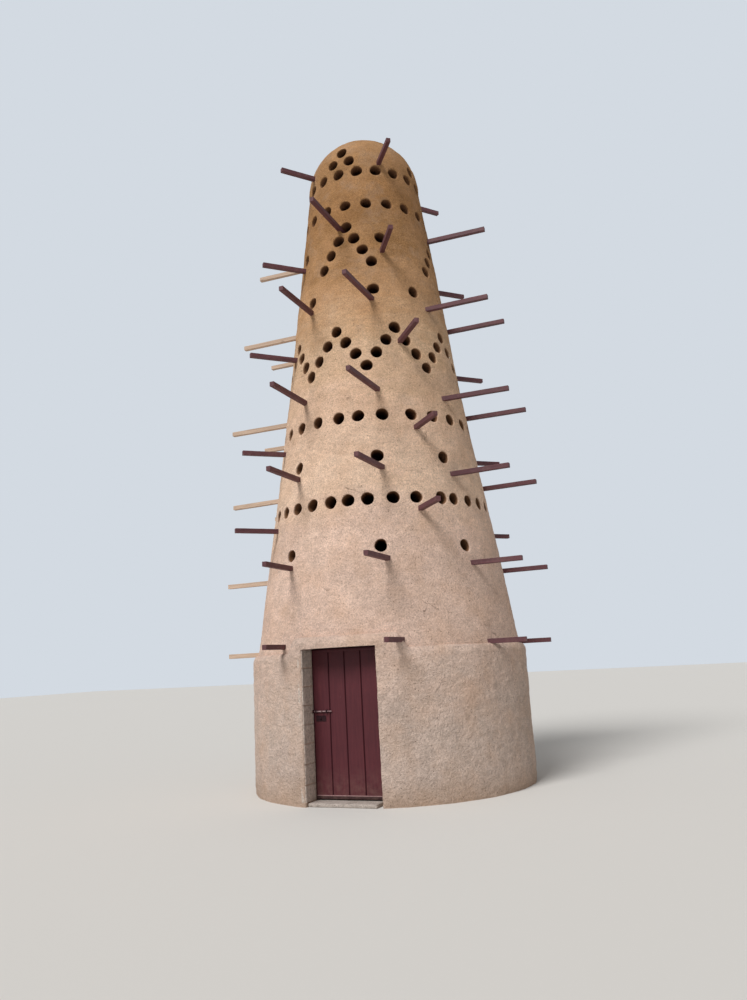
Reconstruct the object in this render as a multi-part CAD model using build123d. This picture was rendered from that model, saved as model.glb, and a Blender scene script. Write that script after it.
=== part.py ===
from build123d import *
import os
from math import atan2, cos, pi, radians, sin, sqrt

# Plastered pigeon tower: a round drum with a steel door, a tapering wall full of round
# pigeon holes, square timber poles laid right through it as perches, and a domed top.
# Millimetres, +Z up, ground at z = 0, tower axis at x = y = 0, door towards -Y.
# An azimuth is counted in degrees from the door's side (-Y) round towards +X.

# Drum
drum_radius = 1705.0
drum_height = 1600.0
drum_wall = 400.0
ledge_round = 70.0

# Tapering wall, as two straight tiers that meet at the waist
foot_radius = 1637.0
foot_wall = 300.0
waist_height = 4850.0
waist_radius = 1155.0
waist_wall = 250.0
spring_height = 7900.0
spring_radius = 778.0
spring_wall = 200.0

# Dome
dome_rise = 820.0
dome_wall = 180.0

# Flat sides that stand for the round plaster: on a full circle, on a rounded corner, and
# from the dome's spring to its top
circle_flats = 32
corner_flats = 3
dome_flats = 6

# Pigeon holes
hole_diameter = 150.0
hole_sides = 8
hole_overrun = 120.0

# Perch poles
pole_side = 55.0
pocket_fit = 0.3
lap_gap = 0.3

# Doorway and its plaster surround
opening_width = 800.0
opening_rise = 40.0
opening_centre = 55.0
surround_left = -20.0
surround_right = 21.5
surround_proud = 10.0
surround_rise = 160.0
nose_round = 75.0
threshold_height = 40.0
threshold_depth = 390.0
masonry_fit = 0.3

# Steel door
door_setback = 265.0
leaf_depth = 30.0
leaf_gap = 6.0
leaf_foot_gap = 12.0
angle_side = 36.0
angle_thickness = 4.0
frame_setback = 6.0
sheet_thickness = 4.0
groove_width = 12.0
groove_depth = 2.0
panel_count = 4
rail_height = 30.0
rail_count = 3

# Barrel hinges
barrel_radius = 10.0
barrel_length = 60.0
pin_radius = 5.0
pin_fit = 0.5
hinge_inset = 3.0
knuckle_length = 36.0
knuckle_gap = 1.0
weld_gap = 0.2
low_hinge_rise = 140.0
high_hinge_drop = 240.0

# Sliding bolt and hasp
bolt_radius = 7.0
bolt_fit = 0.6
bolt_height = 965.0
bolt_length = 215.0
bolt_inset = 6.0
bolt_travel = 45.0
bolt_standoff = 8.0
guide_thickness = 14.0
guide_height = 34.0
guide_inset = 24.0
guide_spacing = 130.0
knob_length = 45.0
knob_radius = 6.0
keeper_fit = 2.0
socket_fit = 5.0
hasp_width = 120.0
hasp_height = 60.0
hasp_drop = 75.0
hasp_thickness = 5.0
staple_radius = 18.0
staple_bar = 8.0
staple_sides = 8

# Places that follow from the sizes above
surround_radius = drum_radius + surround_proud
surround_top = drum_height + surround_rise
opening_top = drum_height + opening_rise
door_face = door_setback - drum_radius

# Seams between the wall's segments, as azimuths
first_seam = 12.0
segment_angle = 45.0
drum_seams = [surround_right, 66.0, 111.0, 156.0, 201.0, 246.0, 291.0, 360.0 + surround_left]

compass = ["front_right", "right", "back_right", "back", "back_left", "left", "front_left", "front"]
drum_names = ["front_right", "right", "back_right", "back", "back_left", "left", "front_left"]


def height_at(course):
    """Height of a course: 0 to 1 is the lower wall, 1 to 2 the upper wall, 2 to 3 the dome."""
    marks = (drum_height, waist_height, spring_height, spring_height + dome_rise)
    tier = min(int(course), 2)
    return marks[tier] + (course - tier) * (marks[tier + 1] - marks[tier])


# Perch levels from the ground up: height of the lap, how far the poles stand out, and the
# lower and the upper way. A way is an azimuth and where its poles lie beside the axis, each
# given as the angle it makes on the wall.
one_pole = (0.0,)
front_pair = (-24.2, 24.2)
side_pair = (-25.5, 22.0)
ledge_level = drum_height + pole_side + 2 * lap_gap
perch_levels = [
    (ledge_level, 430.0, (91.5, side_pair), (0.0, (-24.2, 27.6))),
    (height_at(0.294), 600.0, (90.0, side_pair), (0.0, front_pair)),
    (height_at(0.470), 550.0, (-42.0, one_pole), (41.0, one_pole)),
    (height_at(0.626), 720.0, (87.5, side_pair), (0.0, front_pair)),
    (height_at(0.781), 560.0, (-46.0, one_pole), (44.0, one_pole)),
    (height_at(0.934), 830.0, (92.5, side_pair), (0.0, front_pair)),
    (height_at(1.164), 630.0, (40.5, one_pole), (-42.5, one_pole)),
    (height_at(1.339), 810.0, (92.0, side_pair), (0.0, front_pair)),
    (height_at(1.587), 590.0, (34.0, one_pole), (-42.5, one_pole)),
    (height_at(1.717), 790.0, (0.0, one_pole), (94.0, one_pole)),
    (height_at(2.146), 500.0, (38.5, one_pole), (-37.0, one_pole)),
]

# Full rings of pigeon holes: height, number of holes, azimuth of the first, and the holes
# that were set out of step, by their number from the first and how far they moved
hole_rings = [
    (height_at(0.522), 34, -2.4, {1: -1.5, 2: -2.5, 3: -0.8, 5: 2.9}),
    (height_at(0.843), 26, 1.0, {1: -2.4, 2: -2.7}),
    (height_at(1.821), 19, 4.8, {}),
    (height_at(1.994), 19, -2.7, {}),
]

# Zigzag band, chevrons on four sides, and pyramids on the dome
row_pitch = 172.0
row_step = 6.67
zigzag_height = height_at(1.049)
zigzag_count = 9
zigzag_first = -1.6
chevron_height = height_at(1.530)
chevron_pitch = 183.0
chevron_first = 5.5
pyramid_heights = (height_at(2.198), height_at(2.415))
pyramid_half_step = 9.0

# Single holes over the perches: how high over the lap, and for each level their azimuths
perch_to_hole = 180.0
single_holes = [
    (1, (-64.5, -25.5, 21.5, 63.0, 115.5, 154.5, 205.5, 244.5)),
    (3, (-64.5, -25.5, 22.0, 59.0, 115.5, 154.5, 202.5, 244.5)),
    (7, (-64.5, -25.5, 25.5, 56.5, 115.5, 154.5, 205.5, 244.5)),
    (8, (-42.5, 34.0, 137.5, 214.0)),
]


def dome_sphere(radius, rise):
    """Radius and centre height of the sphere whose cap has a radius at the spring and a rise."""
    sphere = (radius * radius + rise * rise) / (2 * rise)
    return sphere, spring_height + rise - sphere


def radius_at(z):
    """Outer radius of the wall or the dome at height z."""
    if z < waist_height:
        share = (z - drum_height) / (waist_height - drum_height)
        return foot_radius + (waist_radius - foot_radius) * share
    if z < spring_height:
        share = (z - waist_height) / (spring_height - waist_height)
        return waist_radius + (spring_radius - waist_radius) * share
    sphere, centre = dome_sphere(spring_radius, dome_rise)
    return sqrt(max(0.0, sphere * sphere - (z - centre) ** 2))


def radial_plane(azimuth, radius, z):
    """Plane square to the radius at an azimuth, with its y axis upward."""
    turn = radians(azimuth)
    out = Vector(sin(turn), -cos(turn), 0)
    return Plane(
        origin=out * radius + Vector(0, 0, z),
        x_dir=Vector(cos(turn), sin(turn), 0),
        z_dir=out,
    )


def flat_face(corners):
    """Plane face through its corners, leaving out those that fall on the one before."""
    kept = [corner for corner, other in zip(corners, corners[-1:] + corners[:-1]) if corner != other]
    return Face(Wire.make_polygon(kept, close=True))


def turned(points, start, end):
    """Closed profile of (radius, height) points turned with flat sides from start to end azimuth."""
    steps = max(1, round((end - start) / 360.0 * circle_flats))
    half_flat = radians(end - start) / steps / 2
    swell = 2 / (1 + cos(half_flat))
    columns = []
    for step in range(steps + 1):
        turn = radians(start + (end - start) * step / steps)
        out = Vector(sin(turn), -cos(turn), 0) * swell
        columns.append([out * radius + Vector(0, 0, z) for radius, z in points])
    faces = []
    if end - start < 360.0:
        faces += [flat_face(columns[0]), flat_face(columns[-1])]
    else:
        columns[-1] = columns[0]
    sides = list(zip(range(-1, len(points) - 1), range(len(points))))
    for one, two in zip(columns, columns[1:]):
        for low, high in sides:
            if points[low][0] > 0 or points[high][0] > 0:
                faces.append(flat_face([one[low], one[high], two[high], two[low]]))
    return Solid(Shell(faces)).clean()


def rounded_corner(radius, height, rounding):
    """Points of a quarter round at the outer upper corner of a profile."""
    corner = []
    for step in range(corner_flats + 1):
        rise = pi / 2 * step / corner_flats
        corner.append((radius - rounding * (1 - cos(rise)), height - rounding * (1 - sin(rise))))
    return corner


def hole_cutter(azimuth, z):
    """Prism that cuts one pigeon hole through the wall."""
    inner = radius_at(z) - foot_wall - hole_overrun
    plane = radial_plane(azimuth, inner, z)
    shape = RegularPolygon(hole_diameter / 2, hole_sides, major_radius=False)
    return extrude(plane * shape, foot_wall + 2 * hole_overrun)


def pigeon_holes():
    """Azimuth and height of every pigeon hole."""
    places = []
    for height, count, first, shifts in hole_rings:
        for step in range(count):
            places.append((first + 360.0 * step / count + shifts.get(step, 0.0), height))
    for step in range(zigzag_count):
        apex = zigzag_first + 360.0 * step / zigzag_count
        places.append((apex, zigzag_height + 3 * row_pitch))
        for row in (1, 2):
            for side in (-1, 1):
                places.append((apex + side * row * row_step, zigzag_height + (3 - row) * row_pitch))
        places.append((apex + 3 * row_step, zigzag_height))
    for quarter in range(4):
        turn = 90.0 * quarter
        places.append((chevron_first + turn, chevron_height + 3 * chevron_pitch))
        for row in (1, 2, 3):
            for side in (-1, 1):
                azimuth = chevron_first + turn + side * row * row_step
                places.append((azimuth, chevron_height + (3 - row) * chevron_pitch))
        for side in (-1, 1):
            places.append((turn + side * pyramid_half_step, pyramid_heights[0]))
        places.append((turn, pyramid_heights[1]))
    for level, azimuths in single_holes:
        for azimuth in azimuths:
            places.append((azimuth, perch_levels[level][0] + perch_to_hole))
    return places


def pole(azimuth, offset, middle, length, fit=0.0):
    """Square pole through the tower along an azimuth, moved sideways by offset."""
    side = pole_side + 2 * fit
    return Pos(0, 0, middle) * Rot(0, 0, azimuth) * Pos(offset, 0, 0) * Box(side, length, side)


def level_poles(level, fit=0.0):
    """The poles of one perch level, the lower way first."""
    height, projection, *ways = perch_levels[level]
    radius = radius_at(height)
    half_lap = (pole_side + lap_gap) / 2
    poles = []
    for (azimuth, places), middle in zip(ways, (height - half_lap, height + half_lap)):
        for place in places:
            offset = radius * sin(radians(place))
            reach = radius * cos(radians(place)) + projection
            poles.append(pole(azimuth, offset, middle, 2 * reach, fit))
    return poles


def doorway():
    """Block that cuts the doorway through the drum and the lintel."""
    return Pos(opening_centre, -drum_radius, opening_top / 2) * Box(opening_width, drum_radius, opening_top)


def make_drum():
    """Drum wall: segments round the back and sides, and a square jamb at each side of the door."""
    nodes = {}
    inner = drum_radius - drum_wall
    ledge = rounded_corner(drum_radius, drum_height, ledge_round)
    profile = [(inner, 0), (drum_radius, 0), *ledge, (inner, drum_height)]
    for name, start, end in zip(drum_names, drum_seams, drum_seams[1:]):
        nodes["drum_wall_" + name] = turned(profile, start, end)
    flush = [(inner, 0), (surround_radius, 0), (surround_radius, drum_height), (inner, drum_height)]
    middle = (surround_left + surround_right) / 2
    nodes["door_jamb_left"] = turned(flush, surround_left, middle) - doorway() - bolt_socket()
    nodes["door_jamb_right"] = turned(flush, middle, surround_right) - doorway()
    return nodes


def lintel_block():
    """Rounded plaster block over the doorway, as wide as its surround."""
    inner = drum_radius - drum_wall
    nose = rounded_corner(surround_radius, surround_top, nose_round)
    profile = [(inner, drum_height), (surround_radius, drum_height), *nose, (inner, surround_top)]
    return turned(profile, surround_left, surround_right)


def make_tower():
    """Wall in two tiers of eight segments, with pole pockets and pigeon holes, and the lintel."""
    nodes = {}
    lintel = lintel_block()
    pockets = [item for level in range(len(perch_levels)) for item in level_poles(level, pocket_fit)]
    holes = pigeon_holes()
    tiers = [
        ("lower_wall_", drum_height, foot_radius, foot_wall, waist_height, waist_radius, waist_wall),
        ("upper_wall_", waist_height, waist_radius, waist_wall, spring_height, spring_radius, spring_wall),
    ]
    for prefix, low, low_radius, low_wall, high, high_radius, high_wall in tiers:
        profile = [
            (low_radius - low_wall, low),
            (low_radius, low),
            (high_radius, high),
            (high_radius - high_wall, high),
        ]
        tier_pockets = [item for item in pockets if low - pole_side < item.center().Z < high + pole_side]
        tier_holes = [place for place in holes if low - hole_diameter < place[1] < high + hole_diameter]
        # A hole touches a segment when it lies within half the segment and its own width of the middle
        limit = cos(radians(segment_angle / 2) + atan2(hole_diameter, high_radius - high_wall))
        for step, name in enumerate(compass):
            start = first_seam + segment_angle * step
            middle = start + segment_angle / 2
            cutters = list(tier_pockets)
            for azimuth, z in tier_holes:
                if cos(radians(azimuth - middle)) > limit:
                    cutters.append(hole_cutter(azimuth, z))
            segment = turned(profile, start, start + segment_angle) - cutters
            if prefix == "lower_wall_" and name in ("front", "front_right"):
                segment = segment - lintel - doorway()
            nodes[prefix + name] = segment
    nodes["door_lintel"] = lintel - doorway() - level_poles(0, pocket_fit)
    return nodes


def dome_arc(radius, rise):
    """Profile points of a dome from its spring up to its top, on the axis."""
    sphere, centre = dome_sphere(radius, rise)
    spring = atan2(spring_height - centre, radius)
    arc = []
    for step in range(dome_flats):
        lift = spring + (pi / 2 - spring) * step / dome_flats
        arc.append((sphere * cos(lift), centre + sphere * sin(lift)))
    return arc + [(0.0, spring_height + rise)]


def make_dome():
    """Hollow domed cap with its pyramids of pigeon holes."""
    outside = dome_arc(spring_radius, dome_rise)
    inside = dome_arc(spring_radius - spring_wall, dome_rise - dome_wall)
    cap = turned(outside + inside[::-1], first_seam, first_seam + 360.0)
    top_poles = level_poles(len(perch_levels) - 1, pocket_fit)
    holes = [hole_cutter(azimuth, z) for azimuth, z in pigeon_holes() if z > spring_height - hole_diameter]
    return cap - top_poles - holes


def bolt_line():
    """X of the leaf's free edge, and y of the bolt rod's axis."""
    free_edge = opening_centre - opening_width / 2 + masonry_fit + angle_thickness + leaf_gap
    return free_edge, door_face - bolt_standoff - bolt_radius


def rod(x_start, x_end, y, z, radius):
    """Round rod along X."""
    return Plane(origin=(x_start, y, z), z_dir=(1, 0, 0)) * Cylinder(
        radius, x_end - x_start, align=(Align.CENTER, Align.CENTER, Align.MIN)
    )


def upright(x, y, z_low, z_high, radius):
    """Round rod along Z."""
    return Pos(x, y, z_low) * Cylinder(
        radius, z_high - z_low, align=(Align.CENTER, Align.CENTER, Align.MIN)
    )


def bolt_socket():
    """Hole in the left jamb that the bolt shoots into."""
    free_edge, y = bolt_line()
    end = free_edge + bolt_inset - bolt_travel - socket_fit
    return rod(end, free_edge, y, bolt_height, bolt_radius + keeper_fit)


def slab(x_low, x_high, y_low, y_high, z_low, z_high):
    """Block between two corners."""
    size = (x_high - x_low, y_high - y_low, z_high - z_low)
    return Pos((x_low + x_high) / 2, (y_low + y_high) / 2, (z_low + z_high) / 2) * Box(*size)


def make_frame(left, right, top):
    """Angle-iron frame in the doorway, with the keeper that the bolt passes through."""
    front = door_face + frame_setback
    back = front + angle_side
    floor = threshold_height
    outer = slab(left, right, front, back, floor, top)
    inner = slab(left + angle_thickness, right - angle_thickness, front, back - angle_thickness,
                 floor, top - angle_thickness)
    clear = slab(left + angle_side, right - angle_side, front, back, floor, top - angle_side)
    free_edge, bolt_y = bolt_line()
    keeper = slab(left, left + angle_thickness, bolt_y - bolt_radius - bolt_standoff, front,
                  bolt_height - guide_height / 2, bolt_height + guide_height / 2)
    hole = rod(left - angle_thickness, free_edge, bolt_y, bolt_height, bolt_radius + keeper_fit)
    return outer - inner - clear + (keeper - hole)


def make_leaf(left, right, top):
    """Steel leaf: a folded sheet with upright grooves in front and rails behind."""
    low = threshold_height + leaf_foot_gap
    high = top - angle_thickness - leaf_gap
    back = door_face + leaf_depth
    leaf = slab(left, right, door_face, back, low, high)
    bay = (high - low - rail_height) / (rail_count - 1)
    for step in range(rail_count - 1):
        foot = low + rail_height + bay * step
        leaf = leaf - slab(left + angle_thickness, right - angle_thickness,
                           door_face + sheet_thickness, back, foot, foot + bay - rail_height)
    panel = (right - left) / panel_count
    for step in range(1, panel_count):
        x = left + panel * step
        leaf = leaf - slab(x - groove_width / 2, x + groove_width / 2, door_face, door_face + groove_depth,
                           low + rail_height, high - rail_height)
    return leaf


def make_hinges(right, top):
    """Barrel hinges: pins on knuckles welded to the frame, and sleeves welded to the leaf."""
    x = right - hinge_inset - barrel_radius
    y = door_face - barrel_radius - weld_gap
    pins = []
    sleeves = []
    for height in (threshold_height + low_hinge_rise, top - high_hinge_drop):
        knuckle = upright(x, y, height - knuckle_length, height, barrel_radius)
        tab = slab(x + pin_radius, right - weld_gap, y, door_face + frame_setback - weld_gap,
                   height - knuckle_length, height)
        pins.append(knuckle + tab + upright(x, y, height, height + barrel_length, pin_radius))
        foot = height + knuckle_gap
        bore = upright(x, y, height, foot + barrel_length + knuckle_gap, pin_radius + pin_fit)
        sleeves.append(upright(x, y, foot, foot + barrel_length, barrel_radius) - bore)
    return Compound(pins), Compound(sleeves)


def make_bolt():
    """Guides on the leaf, and the round bolt with its knob that slides in them."""
    free_edge, y = bolt_line()
    first_guide = free_edge + guide_inset
    guides = []
    for x in (first_guide, first_guide + guide_spacing):
        guide = slab(x, x + guide_thickness, y - bolt_radius - bolt_standoff, door_face - weld_gap,
                     bolt_height - guide_height / 2, bolt_height + guide_height / 2)
        bore = rod(x - guide_thickness, x + 2 * guide_thickness, y, bolt_height, bolt_radius + bolt_fit)
        guides.append(guide - bore)
    start = free_edge + bolt_inset
    bolt = rod(start, start + bolt_length, y, bolt_height, bolt_radius)
    knob_x = first_guide + guide_spacing - knob_length
    knob = Plane(origin=(knob_x, y, bolt_height), z_dir=(0, -1, 0)) * Cylinder(
        knob_radius, knob_length, align=(Align.CENTER, Align.CENTER, Align.MIN)
    )
    return Compound(guides), bolt + knob


def make_hasp():
    """Plate below the bolt with a staple for a padlock."""
    left = bolt_line()[0] + guide_inset
    middle = bolt_height - hasp_drop
    face = door_face - weld_gap - hasp_thickness
    plate = slab(left, left + hasp_width, face, door_face - weld_gap,
                 middle - hasp_height / 2, middle + hasp_height / 2)
    side = Plane(origin=(left + (hasp_width - staple_bar) / 2, face, middle), z_dir=(1, 0, 0))
    hollow = RegularPolygon(staple_radius - staple_bar, staple_sides)
    staple = extrude(side * (RegularPolygon(staple_radius, staple_sides) - hollow), staple_bar)
    behind = slab(left, left + hasp_width, face, face + staple_radius,
                  middle - hasp_height, middle + hasp_height)
    return plate + (staple - behind)


def make_door():
    """Angle frame, leaf, hinges, bolt, hasp and threshold."""
    left = opening_centre - opening_width / 2 + masonry_fit
    right = opening_centre + opening_width / 2 - masonry_fit
    top = opening_top - masonry_fit
    nodes = {"door_frame": make_frame(left, right, top)}
    nodes["door_leaf"] = make_leaf(bolt_line()[0], right - angle_thickness - leaf_gap, top)
    nodes["hinge_pins"], nodes["hinge_sleeves"] = make_hinges(right, top)
    nodes["bolt_guides"], nodes["sliding_bolt"] = make_bolt()
    nodes["padlock_hasp"] = make_hasp()
    step_front = -sqrt(drum_radius ** 2 - (opening_centre + opening_width / 2) ** 2)
    step_back = step_front + threshold_depth
    nodes["threshold"] = slab(left, right, step_front, step_back, 0, threshold_height - weld_gap)
    return nodes


def make_poles():
    """One node of poles for each perch level."""
    return {
        "perch_poles_level_%02d" % (level + 1): Compound(level_poles(level))
        for level in range(len(perch_levels))
    }


def main():
    os.makedirs("parts", exist_ok=True)
    nodes = {**make_drum(), **make_tower(), "dome": make_dome(), **make_poles(), **make_door()}
    for name, shape in nodes.items():
        export_step(shape, "parts/" + name + ".step")
    print(len(nodes), "nodes,", len(pigeon_holes()), "pigeon holes")


main()
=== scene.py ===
"""Looks of a plastered pigeon tower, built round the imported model.

Metres, +Z up, ground at z = 0, tower axis at x = y = 0, door towards -Y.
An azimuth runs from the door's side (-Y) round towards +X. The tables of holes and poles
give it in degrees, and everything else counts it in radians.
"""

import itertools
import math

import bpy
import numpy as np
from mathutils import Matrix, Vector
from mathutils.geometry import delaunay_2d_cdt


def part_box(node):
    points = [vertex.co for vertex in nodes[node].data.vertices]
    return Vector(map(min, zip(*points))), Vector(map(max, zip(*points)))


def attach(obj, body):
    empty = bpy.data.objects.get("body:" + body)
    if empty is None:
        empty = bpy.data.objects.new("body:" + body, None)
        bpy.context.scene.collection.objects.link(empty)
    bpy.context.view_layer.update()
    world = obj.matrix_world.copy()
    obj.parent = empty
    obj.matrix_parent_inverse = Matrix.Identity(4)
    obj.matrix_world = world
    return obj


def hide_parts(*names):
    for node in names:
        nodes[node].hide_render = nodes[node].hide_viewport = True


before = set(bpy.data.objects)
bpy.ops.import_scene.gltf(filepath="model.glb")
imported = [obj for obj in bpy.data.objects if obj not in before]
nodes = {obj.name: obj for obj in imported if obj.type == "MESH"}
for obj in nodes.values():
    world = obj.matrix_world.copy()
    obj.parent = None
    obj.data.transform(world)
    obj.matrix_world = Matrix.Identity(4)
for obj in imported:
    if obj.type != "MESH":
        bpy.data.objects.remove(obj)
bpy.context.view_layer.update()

CIRCLE = 2 * math.pi

# Camera, fitted to the photograph's 747 by 1000 frame
CAMERA_PLACE = (3.903, -9.424, 1.456)
CAMERA_AZIMUTH = math.radians(22.5)
CAMERA_YAW = math.radians(-0.528)
CAMERA_PITCH = math.radians(11.64)
CAMERA_ROLL = math.radians(3.039)
FOCAL_SHARE, SENSOR_WIDTH, FARTHEST = 0.79, 36.0, 200.0

# Tower, in the same values as the solids
DRUM_RADIUS, DRUM_INNER, DRUM_HEIGHT = 1.705, 1.305, 1.6
LEDGE_ROUND = 0.07
FOOT_RADIUS, FOOT_WALL = 1.637, 0.3
WAIST_HEIGHT, WAIST_RADIUS, WAIST_WALL = 4.85, 1.155, 0.25
SPRING_HEIGHT, SPRING_RADIUS, SPRING_WALL = 7.9, 0.778, 0.2
DOME_RISE, DOME_WALL = 0.82, 0.18

# Doorway, whose right side flares outward, and the plaster surround over and beside it
DOOR_LEFT, DOOR_RIGHT, DOOR_TOP = -0.345, 0.455, 1.64
DOOR_FLARE, FLARE_DEPTH, DOOR_LIP = 0.055, 0.24, 0.014
SURROUND_RADIUS, SURROUND_TOP = 1.715, 1.76
SURROUND_LEFT, SURROUND_RIGHT = math.radians(-20), math.radians(28.5)
NOSE_ROUND = 0.075

# How far past its left and right side the surround's plaster has died out, and over how far it does
PAST_LEFT, FADE_LEFT, PAST_RIGHT, FADE_RIGHT = 0.02, 0.1, 0.03, 0.09

# Points up each side of the doorway and along its top, and its lining's rings by depth and lip
SIDE_POINTS, TOP_POINTS = 107, 55
REVEAL_STEPS = [(0.005, 0.005), (0.014, 0.0)] + [(0.03 * step, 0.0) for step in range(1, 12)]

# Radius where the drum's ledge ends under the wall, and how thick and how high plaster lies there
SHOULDER_END, COVE, COVE_RISE = 1.6, 0.012, 0.03

# How far the drum's foot is worn back, and up to what height
FOOT_WEAR, FOOT_RISE = 0.018, 0.22

# Where the tapering wall's foot is carried up over the doorway, inside the drum's plaster
HEAD_LEFT, HEAD_RIGHT, HEAD_FADE = math.radians(-15.3), math.radians(20.3), math.radians(3.4)
HEAD_LIFT, HEAD_REACH = 0.062, 0.15

# Bare block courses on the doorway's left side, and the mortar joints between them
REVEAL_FACE, REVEAL_FRONT, REVEAL_BACK, REVEAL_DEPTH = -0.3425, -1.672, -1.437, 0.06
REVEAL_COURSES = (0.04, 0.22, 0.43, 0.64, 0.84, 1.04, 1.24, 1.44, 1.636)
REVEAL_JOINT = 0.009

# Socket in the left jamb that the bolt slides into: where the rod lies, half the socket's height,
# how far before and behind the rod its points are pushed in, and its depth
BOLT_Y, BOLT_Z = -1.455, 0.965
SOCKET_HALF, SOCKET_RUN, SOCKET_DEPTH = 0.012, 0.03, 0.045

# Door leaf: its rails, the lower one in dark painted shade, and the pale edge over it, which is painted
# highlight and rubbed paint
LEAF_PANELS = 4
RAIL_HEIGHT, RUBBED_HIGHLIGHT_HEIGHT = 0.03, 0.010

# Pigeon holes, and the rings of their linings by depth and radius
INNER_RADIUS, LIP_RADIUS, GUARD_RADIUS = 0.071, 0.080, 0.095
LINING_STEPS = [(0.0025, 0.0775), (0.008, 0.0755), (0.022, 0.0742), (0.06, 0.073), (0.12, 0.072)]
DOME_STRETCH = 1.2
HOLE_POINTS = 22


def height_at(course):
    """Height of a course: 0 to 1 is the lower wall, 1 to 2 the upper wall, 2 to 3 the dome."""
    marks = (DRUM_HEIGHT, WAIST_HEIGHT, SPRING_HEIGHT, SPRING_HEIGHT + DOME_RISE)
    tier = min(int(course), 2)
    return marks[tier] + (course - tier) * (marks[tier + 1] - marks[tier])


# Rings of holes: height, number, azimuth of the first, and the holes set out of step
HOLE_RINGS = [
    (height_at(0.522), 34, -2.4, {1: -1.5, 2: -2.5, 3: -0.8, 5: 2.9}),
    (height_at(0.843), 26, 1.0, {1: -2.4, 2: -2.7}),
    (height_at(1.821), 19, 4.8, {}),
    (height_at(1.994), 19, -2.7, {}),
]

# Peaks of holes that step down on both sides: the zigzag, the chevrons and the dome's pyramids
ROW_PITCH, ROW_STEP = 0.172, 6.67
ZIGZAG_HEIGHT, ZIGZAG_COUNT, ZIGZAG_FIRST = height_at(1.049), 9, -1.6
CHEVRON_HEIGHT, CHEVRON_PITCH, CHEVRON_FIRST = height_at(1.530), 0.183, 5.5
PYRAMID_HEIGHTS, PYRAMID_HALF_STEP = (height_at(2.198), height_at(2.415)), 9.0

# The zigzag's lowest hole at the back sits a little off, so that no daylight shows through the tower
OFF_STEP, OFF_TURN, OFF_RISE = 5, 1.4, 0.03

# Perch poles: height of the lap, how far they stand out, and the lower and the upper way,
# each as an azimuth and the angles that its poles make on the wall
POLE_SIDE, POLE_ARRIS, LAP_GAP = 0.055, 0.002, 0.0003
ONE_POLE, FRONT_PAIR, SIDE_PAIR = (0.0,), (-24.2, 24.2), (-25.5, 22.0)
LEDGE_LEVEL = DRUM_HEIGHT + POLE_SIDE + 2 * LAP_GAP
PERCH_LEVELS = [
    (LEDGE_LEVEL, 0.43, (91.5, SIDE_PAIR), (0.0, (-24.2, 27.6))),
    (height_at(0.294), 0.60, (90.0, SIDE_PAIR), (0.0, FRONT_PAIR)),
    (height_at(0.470), 0.55, (-42.0, ONE_POLE), (41.0, ONE_POLE)),
    (height_at(0.626), 0.72, (87.5, SIDE_PAIR), (0.0, FRONT_PAIR)),
    (height_at(0.781), 0.56, (-46.0, ONE_POLE), (44.0, ONE_POLE)),
    (height_at(0.934), 0.83, (92.5, SIDE_PAIR), (0.0, FRONT_PAIR)),
    (height_at(1.164), 0.63, (40.5, ONE_POLE), (-42.5, ONE_POLE)),
    (height_at(1.339), 0.81, (92.0, SIDE_PAIR), (0.0, FRONT_PAIR)),
    (height_at(1.587), 0.59, (34.0, ONE_POLE), (-42.5, ONE_POLE)),
    (height_at(1.717), 0.79, (0.0, ONE_POLE), (94.0, ONE_POLE)),
    (height_at(2.146), 0.50, (38.5, ONE_POLE), (-37.0, ONE_POLE)),
]

# Levels whose poles at about these azimuths are bare timber on the left, farther out than this
BARE_LEVELS, BARE_AZIMUTHS, BARE_END = (1, 2, 4, 6, 8, 10), (85.0, 95.0), -0.3

# Single holes over the perches: how high over the lap, and for each level their azimuths
PERCH_TO_HOLE = 0.18
SINGLE_HOLES = [
    (1, (-64.5, -25.5, 21.5, 63.0, 115.5, 154.5, 205.5, 244.5)),
    (3, (-64.5, -25.5, 22.0, 59.0, 115.5, 154.5, 202.5, 244.5)),
    (7, (-64.5, -25.5, 25.5, 56.5, 115.5, 154.5, 205.5, 244.5)),
    (8, (-42.5, 34.0, 137.5, 214.0)),
]

# Spacing of the points on the wall, on the drum and inside, and how far each may stray from its place
GRAIN, DRUM_GRAIN, COARSE = 0.0195, 0.0155, 0.11
STRAY = 0.24

# How far points keep from openings, as a share of the spacing, outside and inside, how far the
# points round one hole keep from the next hole's lip, and how near in height holes have to be to matter
OUTER_CLEARANCE, INNER_CLEARANCE = 0.6, 0.35
LIP_SPACE, HOLE_NEAR = 0.008, 0.3

# How deep the tower's inner faces count as being, so that they take the full painted shade, and how deep in
# a hole the outer relief dies out
INNER_DEPTH, RELIEF_DEPTH = 0.3, 0.1

# Mortar pressed round the poles: how thick it lies and how far it reaches
MORTAR_THICK, MORTAR_REACH = 0.011, 0.062


# Noise


def lattice(seed):
    """Random gradients for one noise field."""
    rng = np.random.default_rng(seed)
    order = rng.permutation(256)
    gradients = rng.normal(size=(256, 3))
    gradients /= np.linalg.norm(gradients, axis=1)[:, None]
    return np.concatenate([order, order, order]), gradients


def gradient_noise(points, size, seed):
    """Smooth noise of about -1 to 1 whose lumps are size across."""
    order, gradients = lattice(seed)
    p = np.asarray(points, float).reshape(-1, 3) / size
    cell = np.floor(p).astype(int)
    part = p - cell
    fade = part * part * part * (part * (part * 6 - 15) + 10)
    cell = cell % 256
    total = np.zeros(len(p))
    for corner in itertools.product((0, 1), repeat=3):
        i, j, k = (cell + corner).T
        key = order[order[order[i] + j] + k]
        dot = (gradients[key] * (part - corner)).sum(axis=1)
        weights = np.where(corner, fade, 1 - fade)
        total += dot * weights[:, 0] * weights[:, 1] * weights[:, 2]
    return total * 1.6


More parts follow.
